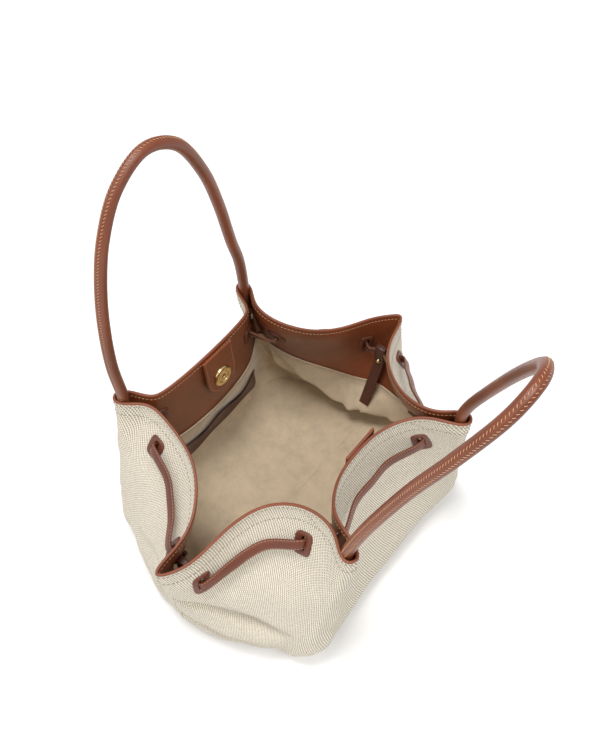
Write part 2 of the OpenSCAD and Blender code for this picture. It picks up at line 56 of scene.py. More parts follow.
def make_camera():
    data = bpy.data.cameras.new("camera")
    data.sensor_width = 36.0
    data.lens = FOCAL_PX / LONG_SIDE_PX * data.sensor_width
    data.clip_start, data.clip_end = 0.01, 20.0
    cam = bpy.data.objects.new("camera", data)
    bpy.context.scene.collection.objects.link(cam)
    back = Vector((math.sin(CAMERA_AZ) * math.cos(CAMERA_EL),
                   -math.cos(CAMERA_AZ) * math.cos(CAMERA_EL), math.sin(CAMERA_EL)))
    cam.rotation_mode = "QUATERNION"
    cam.rotation_quaternion = back.to_track_quat("Z", "Y")
    cam.location = CAMERA_AT
    bpy.context.scene.camera = cam


make_camera()

# ---------------------------------------------------------------- dimensions, as in the CAD model (mm)
CORNER_Z = [208, 191, 188, 198]
VALLEY_Z, VALLEY_X = 150, 191
EAR = np.array([88.0, 133.0])
PINCH = np.array([75.0, 112.0])
WALL_BOW = {-1: 34, 1: 4}
WALL_SAG = {-1: 9, 1: 4}
BASE_Y, BASE_END = 122, 166
CANVAS_T, FACING_T, LINING_T, GAP = 1.2, 1.1, 0.8, 0.3
FACING_IN = CANVAS_T + GAP + FACING_T
LINING_OUT = FACING_IN + GAP
FACING_H = 96
HANDLE_D = 11.0
STRAP_W, STRAP_T = 10.0, 1.8
PATCH_W, PATCH_H = 18.0, 25.0
TAB_W, TAB_LEN, TAB_T, TAB_X = 42.0, 55.0, 2.6, 11.0
BACK_TAB_TILT = 5

# ---------------------------------------------------------------- the bag's surface, as in the CAD model
LAST = 14
COLS = 4 * LAST
ROW_V = [0, 0.10, 0.30, 0.52, 0.74, 0.92, 1]
PLAN = [(126, 106, 140, 186, 16), (126, 106, 140, 186, 16), (124, 113, 141, 188, 20),
        (124, 123, 140, 178, 26), (128, 138, 139, 177, 30), (128, 141, 136, 176, 34),
        (BASE_Y, 134, BASE_Y, BASE_END, 38)]
WALL_MIX = [1, 0.98, 0.66, 0.30, 0, 0, 0]
EAR_MIX = [1, 0.97, 0.20, 0, 0, 0, 0]
LOBE_MIX = [1, 0.97, 0.52, 0.14, 0, 0, 0]
LOBE_T = [0.17, 0.40, 0.63, 0.83]
LOBE_BOW = [(27, 40, 29, 5), (17, 40, 40, 30), (23, 31, 20, 3), (23, 29, 27, 17)]
NECK, EAR_R = 3.7, 9.4
SX, SY = [-1, -1, 1, 1], [-1, 1, 1, -1]


def mix(a, b, t):
    return a + (b - a) * t


def wall_z(q):
    pair = (0, 3) if SY[q] < 0 else (1, 2)
    return (CORNER_Z[pair[0]] + CORNER_Z[pair[1]]) / 2 - WALL_SAG[SY[q]]


def plan_point(c, p):
    wall, cx, cy, end, r = p
    if c <= 2:
        x = (cx - r) * (0, 0.38, 0.76)[c]
        return np.array([x, wall + (cy - wall) * (x / cx) ** 2])
    if c <= 8:
        a = math.radians(90 * (c - 3) / 5)
        return np.array([cx - r + r * math.sin(a), cy - r + r * math.cos(a)])
    y = (cy - r) * (1 - (c - 8) / 6)
    return np.array([end + (cx - end) * (y / (cy - r)) ** 2, y])


def mouth_point(c, q):
    along = (EAR - PINCH) / np.linalg.norm(EAR - PINCH)
    side = np.array([-along[1], along[0]])
    shoulder = np.array([VALLEY_X - 6.0, 7.0])
    if c <= 2:
        x = PINCH[0] * (0, 0.42, 0.80)[c]
        return np.array([x, PINCH[1] - WALL_BOW[SY[q]] * (1 - (x / PINCH[0]) ** 3)])
    if c in (3, 8):
        return PINCH + side * NECK * (1 if c == 3 else -1) - along
    if c in (4, 7):
        return EAR + side * EAR_R * (1 if c == 4 else -1) - along * 4
    if c in (5, 6):
        return EAR + side * EAR_R * (0.75 if c == 5 else -0.75) + along * EAR_R * 1.15
    if c <= 12:
        return PINCH + (shoulder - PINCH) * LOBE_T[c - 9] + np.array([-0.70, -0.714]) * LOBE_BOW[q][c - 9]
    return shoulder if c == 13 else np.array([float(VALLEY_X), 0.0])


def rim_z(c, q):
    if c <= 2:
        return mix(wall_z(q), CORNER_Z[q], (c / 3) ** 2)
    if c <= 8:
        return CORNER_Z[q]
    t = LOBE_T[c - 9] if c <= 12 else 1
    return mix(CORNER_Z[q], VALLEY_Z, t * t * (3 - 2 * t))


def net_point(i, row):
    q, r = divmod(i % COLS, LAST)
    c = r if q % 2 == 0 else LAST - r
    m = (WALL_MIX if c <= 2 else EAR_MIX if c <= 8 else LOBE_MIX)[row]
    xy = mix(plan_point(c, PLAN[row]), mouth_point(c, q), m)
    return [SX[q] * xy[0], SY[q] * xy[1], rim_z(c, q) * (1 - ROW_V[row])]


NET = np.array([[net_point(i, row) for i in range(COLS)] for row in range(7)])
ROWS = np.concatenate([2 * NET[:1] - NET[1:2], NET, 2 * NET[-1:] - NET[-2:-1]])


def weights(t):
    return np.stack([(1 - t) ** 3, 3 * t ** 3 - 6 * t ** 2 + 4,
                     -3 * t ** 3 + 3 * t ** 2 + 3 * t + 1, t ** 3]) / 6


def surf(u, r):
    """Smooth outer surface at columns u and rows r (arrays of one shape)."""
    u, r = np.broadcast_arrays(np.asarray(u, float), np.asarray(r, float))
    iu = np.floor(u).astype(int)
    iv = np.clip(np.floor(r).astype(int), 0, 5)
    wu, wv = weights(u - iu), weights(r - iv)
    out = np.zeros(u.shape + (3,))
    for a in range(4):
        for b in range(4):
            out += ROWS[iv + a, (iu - 1 + b) % COLS] * (wv[a] * wu[b])[..., None]
    return out


def rim_height(u):
    return surf(u, 0.0)[..., 2]


def row_at_height(u, z):
    return np.interp(1 - np.asarray(z) / rim_height(u), ROW_V, range(7))


def row_below_rim(u, h):
    return np.interp(h / rim_height(u), ROW_V, range(7))


# Creases of the soft cloth: (columns, heights) of the two ends, width, and depth (inward is positive)
FOLDS = [
    ((8.6, 60), (12.8, 84), 9, 11.0),
    ((12.8, 84), (14.8, 88), 10, 9.0),
    ((8.8, 42), (13.2, 54), 13, -3.5),
    ((8.2, 22), (11.6, 36), 8, 6.0),
    ((11.6, 36), (14.5, 32), 9, 4.5),
    ((9.0, 150), (12.4, 98), 13, 2.2),
    ((19.6, 62), (23.5, 66), 9, 2.5),
    ((15.0, 84), (18.2, 62), 11, 4.0),
    ((15.2, 36), (18.4, 28), 10, 2.5),
    ((42.0, 82), (46.2, 62), 10, 6.0),
    ((37.0, 66), (41.6, 80), 10, 5.0),
    ((47.4, 70), (49.2, 40), 10, 2.5),
    ((50.5, 90), (55.0, 60), 16, 2.5),
    ((24.5, 60), (31.0, 84), 16, 2.5),
    ((2.0, 70), (5.5, 92), 14, 2.5),
]


def folds(u, z):
    """Depth of the creases at columns u and heights z, in mm."""
    u, z = np.broadcast_arrays(np.asarray(u, float), np.asarray(z, float))
    depth = np.zeros(u.shape)
    column = 9.0
    for (u1, z1), (u2, z2), width, deep in FOLDS:
        a = np.stack([(np.mod(u - u1 + COLS / 2, COLS) - COLS / 2) * column, z - z1], -1)
        d = np.array([(u2 - u1) * column, z2 - z1], float)
        t = np.clip((a @ d) / (d @ d), 0, 1)
        dist = np.linalg.norm(a - t[..., None] * d, axis=-1)
        depth += deep * np.exp(-(dist / width) ** 2 * 2.2) * (1 - 0.5 * np.abs(2 * t - 1) ** 3)
    ripple = 0.8 * np.sin(u * 1.9 + z * 0.07) * np.sin(u * 0.7 - z * 0.045 + 1.3)
    ripple += 0.5 * np.sin(u * 3.1 - z * 0.11 + 0.6) * np.sin(z * 0.09 + u * 0.4)
    fade = np.clip((rim_height(u) - z - 12) / 40, 0, 1) * np.clip(z / 14, 0, 1)
    return (depth + ripple) * fade


EPS = 0.02


def tangents(u, r):
    across = (surf(u + EPS, r) - surf(u - EPS, r)) / (2 * EPS)
    top, low = np.maximum(r - EPS, 0), np.minimum(r + EPS, 6)
    down = (surf(u, low) - surf(u, top)) / (low - top)[..., None]
    return across, down


def outward(u, r):
    u, r = np.broadcast_arrays(np.asarray(u, float), np.asarray(r, float))
    across, down = tangents(u, r)
    n = np.cross(across, down)
    return n / np.maximum(np.linalg.norm(n, axis=-1, keepdims=True), 1e-9)


def skin(u, r, d, creased=True):
    """Point at depth d under the creased outer surface, in mm."""
    u, r = np.broadcast_arrays(np.asarray(u, float), np.asarray(r, float))
    p = surf(u, r)
    depth = np.asarray(d) + (folds(u, p[..., 2]) if creased else 0)
    return p - outward(u, r) * np.asarray(depth)[..., None] * np.ones(p.shape[:-1] + (1,))


FLOOR_Z = 4.2
# Where the inner layers hang free: column, spread, hang at the facing's lower edge, extra belly of the lining
HANG = [(0, 2.6, 8, 0), (14, 4.5, 14, 24), (28, 2.6, 9, 0), (40.5, 5, 26, 30)]


def cols_from(u, c):
    return np.mod(u - c + COLS / 2, COLS) - COLS / 2


def hang_sum(u, k):
    return sum(h[k] * np.exp(-(cols_from(u, h[0]) / h[1]) ** 2) for h in HANG)


def slack(u, z):
    """How far the inner layers hang in from the canvas, in mm, with the soft ripples of the cloth."""
    rim = rim_height(u)
    drop = (rim - z) / FACING_H
    hang = 3 + hang_sum(u, 2)
    t = np.clip((drop - 1) * FACING_H / (rim - FACING_H - FLOOR_Z - 1), 0, 1)
    low = hang * (1 - t) + hang_sum(u, 3) * np.sin(math.pi * t)
    ripple = 1.5 * np.sin(u * 2.3 + 0.8 + z * 0.03) + 1.1 * np.sin(u * 4.1 + z * 0.12)
    fold = np.exp(-((drop - 1.28 + 0.05 * np.sin(u * 1.7)) / 0.09) ** 2)
    ripple += 2.6 * fold * (0.4 + hang_sum(u, 3) / 22)
    ripple = ripple * np.clip((drop - 0.9) * 4, 0, 1) * np.clip((1 - t) * 3, 0, 1)
    return np.where(drop < 1, hang * np.clip(drop, 0, None) ** 1.2, low) + ripple


def inner_skin(u, r, d):
    """Point of an inner layer: depth d under the plain outer surface, plus the slack."""
    u, r = np.broadcast_arrays(np.asarray(u, float), np.asarray(r, float))
    return skin(u, r, d + slack(u, surf(u, r)[..., 2]), False)


# ---------------------------------------------------------------- mesh helpers
def unit(a):
    a = np.asarray(a, float)
    return a / np.maximum(np.linalg.norm(a, axis=-1, keepdims=True), 1e-9)


def make_object(name, verts, faces, uvs=None, material=None, sharp=50):
    mesh = bpy.data.meshes.new(name)
    mesh.from_pydata([tuple(v) for v in np.asarray(verts) * MM], [], faces)
    if uvs is not None:
        layer = mesh.uv_layers.new(name="UVMap")
        loops = np.zeros(len(mesh.loops), dtype=np.int32)
        mesh.loops.foreach_get("vertex_index", loops)
        layer.data.foreach_set("uv", np.asarray(uvs, float)[loops].ravel())
    mesh.shade_smooth()
    mesh.set_sharp_from_angle(angle=math.radians(sharp))
    obj = bpy.data.objects.new(name, mesh)
    bpy.context.scene.collection.objects.link(obj)
    if material:
        mesh.materials.append(material)
    return obj


def finish_piece(obj, body, slot, *nodes):
    if body:
        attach(obj, body)
    if nodes:
        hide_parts(*nodes)
    return obj


def grid_faces(nr, nc, off=0, flip=False, skip=None, wrap=False):
    faces = []
    for i in range(nr - 1):
        for j in range(nc if wrap else nc - 1):
            if skip is not None and skip[i, j]:
                continue
            k = (j + 1) % nc
            f = (off + i * nc + j, off + (i + 1) * nc + j, off + (i + 1) * nc + k, off + i * nc + k)
            faces.append(f[::-1] if flip else f)
    return faces


def sheet_mesh(name, outer, inner, uv, material, skip=None):
    """Thick sheet between two grids of points; skip marks the cells left out of both faces."""
    nr, nc = outer.shape[:2]
    n = nr * nc
    verts = np.concatenate([outer.reshape(-1, 3), inner.reshape(-1, 3)])
    faces = grid_faces(nr, nc, 0, False, skip) + grid_faces(nr, nc, n, True, skip)
    for j in range(nc - 1):
        top, low = j, (nr - 1) * nc + j
        faces.append((top, top + 1, n + top + 1, n + top))
        faces.append((low, n + low, n + low + 1, low + 1))
    for i in range(nr - 1):
        a, b = i * nc, (i + 1) * nc
        faces.append((a, n + a, n + b, b))
        faces.append((a + nc - 1, b + nc - 1, n + b + nc - 1, n + a + nc - 1))
    return make_object(name, verts, faces, np.concatenate([uv.reshape(-1, 2)] * 2), material)


def sweep_mesh(name, rings, material, loop=False, uvs=None, sharp=50):
    rings = np.asarray(rings)
    n, m = rings.shape[:2]
    faces = []
    for i in range(n if loop else n - 1):
        for j in range(m):
            a, b = i * m + j, i * m + (j + 1) % m
            k = (i + 1) % n
            faces.append((a, k * m + j, k * m + (j + 1) % m, b))
    if not loop:
        faces.append(tuple(range(m)))
        faces.append(tuple((n - 1) * m + j for j in reversed(range(m))))
    return make_object(name, rings.reshape(-1, 3), faces, uvs, material, sharp)


def curve(points, per, loop=False):
    p = np.asarray(points, float)
    n = len(p)
    out = []
    for s in range((n if loop else n - 1) * per + (0 if loop else 1)):
        t = s / per
        i = min(int(t), n - 1 if loop else n - 2)
        f = t - i
        a = p[(i - 1) % n] if loop or i > 0 else 2 * p[0] - p[1]
        b, c = p[i], p[(i + 1) % n]
        d = p[(i + 2) % n] if loop or i + 2 < n else 2 * p[-1] - p[-2]
        out.append(0.5 * (2 * b + (c - a) * f + (2 * a - 5 * b + 4 * c - d) * f ** 2
                          + (3 * b - a - 3 * c + d) * f ** 3))
    return np.array(out)


def headings(c, loop=False):
    if loop:
        return unit(np.roll(c, -1, 0) - np.roll(c, 1, 0))
    h = np.gradient(c, axis=0)
    return unit(h)


def arc_lengths(c):
    return np.concatenate([[0], np.cumsum(np.linalg.norm(np.diff(c, axis=0), axis=1))])


def spaced(c, pitch, start=0.0):
    """Fractional indices along c at an even pitch in mm."""
    s = arc_lengths(c)
    return np.interp(np.arange(start, s[-1], pitch), s, np.arange(len(c)))


def at_index(c, t):
    i = np.clip(np.floor(t).astype(int), 0, len(c) - 2)
    f = (t - i)[:, None]
    return c[i] * (1 - f) + c[i + 1] * f


STITCH_RINGS = [(-0.5, 0.25, -0.35), (-0.42, 0.8, -0.05), (-0.2, 1.0, 0.28), (0.0, 1.0, 0.36),
                (0.2, 1.0, 0.28), (0.42, 0.8, -0.05), (0.5, 0.25, -0.35)]


def stitches(name, centres, along, up, length, thick, material, body=None, slot="thread"):
    """One mesh of short thread stitches lying along given directions."""
    verts, faces = [], []
    along, up = unit(along), unit(up)
    side = unit(np.cross(along, up))
    sides = 6
    for c, a, u, s in zip(centres, along, up, side):
        base = len(verts)
        for t, k, lift in STITCH_RINGS:
            for j in range(sides):
                w = 2 * math.pi * j / sides
                verts.append(c + a * t * length + u * (lift * thick + math.sin(w) * thick * k * 0.5)
                             + s * math.cos(w) * thick * k * 0.5)
        rings = len(STITCH_RINGS)
        for i in range(rings - 1):
            for j in range(sides):
                k = (j + 1) % sides
                faces.append((base + i * sides + j, base + i * sides + k,
                              base + (i + 1) * sides + k, base + (i + 1) * sides + j))
        faces.append(tuple(base + j for j in reversed(range(sides))))
        faces.append(tuple(base + (rings - 1) * sides + j for j in range(sides)))
    obj = make_object(name, verts, faces, None, material, 180)
    return finish_piece(obj, body, slot)


# ---------------------------------------------------------------- materials
def shade(colour, k):
    return tuple(min(1, c * k) for c in colour)


class Nodes:
    """Small helper that adds nodes to a material and links them."""

    def __init__(self, name):
        self.mat = bpy.data.materials.new(name)
        self.mat.use_nodes = True
        self.tree = self.mat.node_tree
        self.bsdf = self.tree.nodes["Principled BSDF"]

    def link(self, a, b):
        self.tree.links.new(a, b)

    def math(self, op, a, b=None, c=None):
        node = self.tree.nodes.new("ShaderNodeMath")
        node.operation = op
        for i, v in enumerate((a, b, c)):
            if v is None:
                continue
            if isinstance(v, (int, float)):
                node.inputs[i].default_value = v
            else:
                self.link(v, node.inputs[i])
        return node.outputs[0]

    def noise(self, vector, scale, detail=3.0, rough=0.55):
        node = self.tree.nodes.new("ShaderNodeTexNoise")
        node.inputs["Scale"].default_value = scale
        node.inputs["Detail"].default_value = detail
        node.inputs["Roughness"].default_value = rough
        self.link(vector, node.inputs["Vector"])
        return node.outputs[0]

    def ramp(self, value, stops):
        node = self.tree.nodes.new("ShaderNodeValToRGB")
        cr = node.color_ramp
        while len(cr.elements) < len(stops):
            cr.elements.new(0.5)
        for e, (pos, col) in zip(cr.elements, stops):
            e.position = pos
            e.color = (*col, 1)
        self.link(value, node.inputs[0])
        return node.outputs[0]

    def mix_rgb(self, fac, a, b, mode="MIX"):
        node = self.tree.nodes.new("ShaderNodeMix")
        node.data_type = "RGBA"
        node.blend_type = mode
        for i, v in ((0, fac), (6, a), (7, b)):
            if isinstance(v, (int, float)):
                node.inputs[i].default_value = v
            elif isinstance(v, tuple):
                node.inputs[i].default_value = (*v, 1)
            else:
                self.link(v, node.inputs[i])
        return node.outputs[2]

    def bump(self, height, strength, distance, normal=None):
        node = self.tree.nodes.new("ShaderNodeBump")
        node.inputs["Strength"].default_value = strength
        node.inputs["Distance"].default_value = distance
        self.link(height, node.inputs["Height"])
        if normal is not None:
            self.link(normal, node.inputs["Normal"])
        return node.outputs[0]

    def object_coords(self):
        return self.tree.nodes.new("ShaderNodeTexCoord").outputs["Object"]

    def uv_coords(self):
        return self.tree.nodes.new("ShaderNodeTexCoord").outputs["UV"]

    def split(self, vector):
        node = self.tree.nodes.new("ShaderNodeSeparateXYZ")
        self.link(vector, node.inputs[0])
        return node.outputs[0], node.outputs[1]


def canvas_material(name, light=(0.84, 0.785, 0.665), dark=(0.23, 0.175, 0.11), thread_mm=0.8):
    """Two-tone twill: pale warp and brown weft, with the diagonal running down the cloth. UVs are in mm."""
    n = Nodes(name)
    uv = n.uv_coords()
    obj = n.object_coords()
    x, y = n.split(uv)
    wob = n.math("MULTIPLY", n.math("SUBTRACT", n.noise(obj, 60, 2), 0.5), 1.6)
    i = n.math("DIVIDE", n.math("ADD", x, wob), thread_mm)
    j = n.math("DIVIDE", y, thread_mm)
    stepped = n.math("ADD", n.math("MULTIPLY", n.math("FLOOR", i), 3.0), n.math("FLOOR", j))
    weft = n.math("LESS_THAN", n.math("FRACT", n.math("DIVIDE", stepped, 8.0)), 0.3)
    rx = n.math("ABSOLUTE", n.math("SUBTRACT", n.math("FRACT", i), 0.5))
    ry = n.math("ABSOLUTE", n.math("SUBTRACT", n.math("FRACT", j), 0.5))
    edge = n.math("MAXIMUM", rx, ry)
    round_cell = n.math("SUBTRACT", 1.0, n.math("MULTIPLY", n.math("MULTIPLY", edge, edge), 2.4))
    slub = n.noise(obj, 420, 2)
    tone = n.noise(obj, 9, 3)
    warp_col = n.ramp(slub, [(0.3, shade(light, 0.88)), (0.7, light)])
    weft_col = n.ramp(slub, [(0.3, dark), (0.75, shade(dark, 1.7))])
    col = n.mix_rgb(weft, warp_col, weft_col)
    col = n.mix_rgb(n.math("MULTIPLY", tone, 0.16), col, (0.62, 0.56, 0.46))
    n.link(col, n.bsdf.inputs["Base Color"])
    n.bsdf.inputs["Roughness"].default_value = 0.88
    n.bsdf.inputs["Sheen Weight"].default_value = 0.15
    n.bsdf.inputs["Specular IOR Level"].default_value = 0.2
    height = n.math("MULTIPLY", round_cell, n.math("SUBTRACT", 1.0, n.math("MULTIPLY", weft, 0.45)))
    n.link(n.bump(height, 0.55, 0.0006), n.bsdf.inputs["Normal"])
    return n.mat


def leather_material(name, base, rough=0.42, grain=700, variation=0.25, worn=1.25):
    n = Nodes(name)
    obj = n.object_coords()
    cloud = n.noise(obj, 14, 4)
    fine = n.noise(obj, 260, 3)
    darker = shade(base, 1 - variation)
    lighter = shade(base, worn)
    col = n.ramp(cloud, [(0.3, darker), (0.52, base), (0.75, lighter)])
    col = n.mix_rgb(n.math("MULTIPLY", fine, 0.18), col, darker)
    n.link(col, n.bsdf.inputs["Base Color"])
    r = n.math("ADD", rough - 0.08, n.math("MULTIPLY", fine, 0.16))
    n.link(r, n.bsdf.inputs["Roughness"])
    vor = n.tree.nodes.new("ShaderNodeTexVoronoi")
    vor.feature = "DISTANCE_TO_EDGE"
    vor.inputs["Scale"].default_value = grain
    n.link(obj, vor.inputs["Vector"])
    pores = n.math("MINIMUM", n.math("MULTIPLY", vor.outputs[0], 3.0), 1.0)
    n.link(n.bump(pores, 0.22, 0.0003, n.bump(fine, 0.12, 0.0006)), n.bsdf.inputs["Normal"])
    return n.mat


def lining_material(name, base):
    n = Nodes(name)
    obj = n.object_coords()
    nap = n.noise(obj, 55, 5, 0.7)
    fibre = n.noise(obj, 900, 2)
    col = n.ramp(nap, [(0.32, shade(base, 0.84)), (0.5, base), (0.7, shade(base, 1.12))])
    col = n.mix_rgb(n.math("MULTIPLY", fibre, 0.22), col, shade(base, 0.72))
    n.link(col, n.bsdf.inputs["Base Color"])
    n.bsdf.inputs["Roughness"].default_value = 0.93
    n.bsdf.inputs["Sheen Weight"].default_value = 0.35
    n.bsdf.inputs["Specular IOR Level"].default_value = 0.15
    n.link(n.bump(fibre, 0.3, 0.0005, n.bump(nap, 0.25, 0.002)), n.bsdf.inputs["Normal"])
    return n.mat


def metal_material(name, base, rough):
    n = Nodes(name)
    obj = n.object_coords()
    haze = n.noise(obj, 220, 3)
    col = n.ramp(haze, [(0.3, shade(base, 0.9)), (0.7, base)])
    n.link(col, n.bsdf.inputs["Base Color"])
    n.bsdf.inputs["Metallic"].default_value = 1.0
    n.link(n.math("ADD", rough, n.math("MULTIPLY", haze, 0.12)), n.bsdf.inputs["Roughness"])
    n.link(n.bump(n.noise(obj, 1600, 2), 0.05, 0.0002), n.bsdf.inputs["Normal"])
    return n.mat


def thread_material(name, base):
    n = Nodes(name)
    obj = n.object_coords()
    ply = n.noise(obj, 1500, 2)
    n.link(n.ramp(ply, [(0.35, shade(base, 0.72)), (0.65, base)]), n.bsdf.inputs["Base Color"])
    n.bsdf.inputs["Roughness"].default_value = 0.7
    n.link(n.bump(ply, 0.4, 0.0003), n.bsdf.inputs["Normal"])
    return n.mat


CANVAS = canvas_material("canvas")
FACING = leather_material("facing_leather", (0.225, 0.058, 0.019), rough=0.36)
BINDING = leather_material("binding_leather", (0.215, 0.058, 0.023), rough=0.46)
TRIM = leather_material("trim_leather", (0.130, 0.032, 0.013), rough=0.40)
DARK = leather_material("dark_leather", (0.085, 0.026, 0.015), rough=0.42)
HANDLE = leather_material("handle_leather", (0.185, 0.047, 0.017), rough=0.38)
LINING = lining_material("lining", (0.62, 0.50, 0.345))
BRASS = metal_material("brass", (0.83, 0.62, 0.30), 0.22)
STEEL = metal_material("steel", (0.6, 0.6, 0.58), 0.3)
# Cream thread darkened with painted shade, so that the stitch rows read as shaded needle dimples in the
# canvas
THREAD_CREAM_PAINTED_SHADE = thread_material("thread_cream_painted_shade", (0.36, 0.30, 0.205))
THREAD_TAN = thread_material("thread_tan", (0.60, 0.33, 0.18))
THREAD_DARK = thread_material("thread_dark", (0.16, 0.07, 0.045))
BOARD = lining_material("board", (0.25, 0.20, 0.15))

# ---------------------------------------------------------------- slots
SLOT_DROP = 35
SLOT_COLS = (2.3, 8.8, 11.9)


def loop_col(q, c):
    return q * LAST + c if q % 2 == 0 else (q + 1) * LAST - c


FRONT_SLOTS = [loop_col(q, c) for q in (0, 3) for c in SLOT_COLS]
BACK_SLOTS = [loop_col(q, c) for q in (1, 2) for c in SLOT_COLS]
SPAN = {"front": (-LAST + 0.02, LAST - 0.02), "back": (LAST + 0.02, 3 * LAST - 0.02)}


def by_slot(u, a, b, d):
    """Point a mm round the bag and b mm down from a slot's centre, at depth d."""
    r = float(row_below_rim(u, SLOT_DROP))
    across, down = tangents(np.float64(u), np.float64(r))
    u2, r2 = u + a / np.linalg.norm(across), r + b / np.linalg.norm(down)
    return skin(u2, r2, d) if d < FACING_IN else inner_skin(u2, r2, d)


# Half the width and height of a slot's hole, and how far in front of or behind it a cell may lie
HOLE_W, HOLE_H, HOLE_REACH = 4.2, 9.0, 10


def slot_holes(u, r, slots):
    """True for each cell of a grid that lies in one of the slots."""
    p = surf((u[:-1, :-1] + u[1:, 1:]) / 2, (r[:-1, :-1] + r[1:, 1:]) / 2)
    hole = np.zeros(p.shape[:2], bool)
    for s in slots:
        row = float(row_below_rim(s, SLOT_DROP))
        c = surf(s, row)
        across, down = tangents(np.float64(s), np.float64(row))
        a, b, n = ((p - c) @ unit(v) for v in (across, down, np.cross(across, down)))
        hole |= ((a / HOLE_W) ** 2 + (b / HOLE_H) ** 2 < 1) & (np.abs(n) < HOLE_REACH)
    return hole


# ---------------------------------------------------------------- sheets of the bag
def panel_grid(side, nu, nr, top, low):
    u = np.linspace(*SPAN[side], nu)[None, :].repeat(nr, 0)
    t = np.linspace(0, 1, nr)[:, None]
    r = mix(top(u[0])[None, :], low(u[0])[None, :], t)
    return u, r


def cloth_uv(points):
    """Distances round the cloth and down it, in mm."""
    s = arc_lengths(points[points.shape[0] // 3])
    down = np.concatenate([np.zeros((1, points.shape[1])),
                           np.cumsum(np.linalg.norm(np.diff(points, axis=0), axis=2), 0)])
    down -= down[points.shape[0] // 3]
    return np.stack([s[None, :].repeat(points.shape[0], 0), down], -1)


FACING_OUT = CANVAS_T + GAP
# Columns and rows of the grids; canvas and facing share their columns, so that neither cuts the other
PANEL_COLS, CANVAS_ROWS, FACING_ROWS = 281, 92, 44
LINING_COLS, LINING_ROWS = 201, 50
BASE_EDGE_Z = 1.6
for side, slots in (("front", FRONT_SLOTS), ("back", BACK_SLOTS)):
    u, r = panel_grid(side, PANEL_COLS, CANVAS_ROWS, np.zeros_like, lambda u: row_at_height(u, BASE_EDGE_Z))
    outer, inner = skin(u, r, 0), skin(u, r, CANVAS_T)
    canvas = sheet_mesh(f"canvas_{side}", outer, inner, cloth_uv(outer), CANVAS, slot_holes(u, r, slots))
    finish_piece(canvas, "bag", "canvas", f"canvas_{side}_panel")
    u, r = panel_grid(side, PANEL_COLS, FACING_ROWS, np.zeros_like, lambda u: row_below_rim(u, FACING_H))
    facing = sheet_mesh(f"facing_{side}", inner_skin(u, r, FACING_OUT), inner_skin(u, r, FACING_IN),
                        cloth_uv(outer[:FACING_ROWS]), FACING, slot_holes(u, r, slots))
    finish_piece(facing, "bag", "facing_leather", f"facing_{side}_band")

# Lining: hangs from the facing's lower edge and falls in to the floor
for side in ("front", "back"):
    u, r = panel_grid(side, LINING_COLS, LINING_ROWS, lambda u: row_below_rim(u, FACING_H - 8),
                      lambda u: row_at_height(u, FLOOR_Z + 0.2))
    outer = inner_skin(u, r, LINING_OUT)
    inner = inner_skin(u, r, LINING_OUT + LINING_T)
    lining = sheet_mesh(f"lining_{side}", outer, inner, cloth_uv(outer), LINING)
    finish_piece(lining, "bag", "lining", f"lining_{side}_panel")

# Turned and piped top edge of the lining
edge_u = np.linspace(0, COLS, 420, endpoint=False)
edge_r = row_below_rim(edge_u, FACING_H - 8.4)
edge_c = inner_skin(edge_u, edge_r, LINING_OUT + 0.9)
edge_n = outward(edge_u, edge_r)
edge_down = unit(tangents(edge_u, edge_r)[1])
EIGHTHS = np.arange(8) * math.pi / 4
rings = [[c + n * math.cos(w) * 0.9 + d * math.sin(w) * 1.1 for w in EIGHTHS]
         for c, n, d in zip(edge_c, edge_n, edge_down)]
piping = sweep_mesh("lining_piping", rings, LINING, True)
finish_piece(piping, "bag", "lining", "lining_top_piping")


def floor_sheet(name, z, inset, wave, material, slot, *nodes):
    """Flat sheet inside the base outline, as a grid of rings round the centre."""
    u = np.linspace(0, COLS, 224, endpoint=False)
    edge = skin(u, row_at_height(u, max(z, BASE_EDGE_Z)), inset, False)
    rings = []
    for k in np.linspace(1, 0.02, 26):
        ring = edge * k
        lift = wave * (np.sin(ring[:, 0] * 0.05 + 1) * np.sin(ring[:, 1] * 0.045)
                       + 0.5 * np.sin(ring[:, 0] * 0.11) * np.sin(ring[:, 1] * 0.09 + 2))
        groove = -0.9 * np.exp(-(ring[:, 1] / 1.3) ** 2) * (1 if wave else 0)
        ring[:, 2] = z + lift * min(1, (1 - k) * 6) + groove
        rings.append(ring)
    rings = np.array(rings)
    nr, nc = rings.shape[:2]
    faces = grid_faces(nr, nc, 0, True, wrap=True) + [tuple((nr - 1) * nc + j for j in range(nc))]
    obj = make_object(name, rings.reshape(-1, 3), faces, rings.reshape(-1, 3)[:, :2], material)
    return finish_piece(obj, "bag", slot, *nodes)


floor_sheet("lining_floor", FLOOR_Z + 1.6, 3.0, 0.6, LINING, "lining")
floor_sheet("canvas_base", 0.1, 0.6, 0.0, CANVAS, "canvas", "canvas_base_panel")
# Seam along the middle of the floor: a shallow ridge of lining on each side of the stitched line
SEAM_X = 150
for s in (-1, 1):
    x = np.linspace(-SEAM_X, SEAM_X, 60)
    rings = [[(a, s * 1.5 + 1.2 * math.cos(w), FLOOR_Z + 0.75 + 0.55 * math.sin(w))
              for w in EIGHTHS] for a in x]
    ridge = sweep_mesh(f"floor_seam_{'front' if s < 0 else 'back'}", rings, LINING)
    finish_piece(ridge, "bag", "lining")

# ---------------------------------------------------------------- rim
for side in ("front", "back"):
    u = np.linspace(*SPAN[side], 561)
    p, n, up = skin(u, 0.0 * u, 0), outward(u, 0.0 * u), -unit(tangents(u, 0.0 * u)[1])
    profile = [(0.05, -0.2), (0.15, 0.5), (-0.05, 1.2), (-0.7, 1.75), (-1.4, 1.85), (-2.1, 1.6), (-2.65, 0.9),
               (-2.7, -0.4)]
    rings = np.stack([p + n * a + up * b for a, b in profile], 1)
    rim = sweep_mesh(f"rim_binding_{side}", rings, BINDING)
    finish_piece(rim, "bag", "binding_leather", f"{side}_rim_binding")


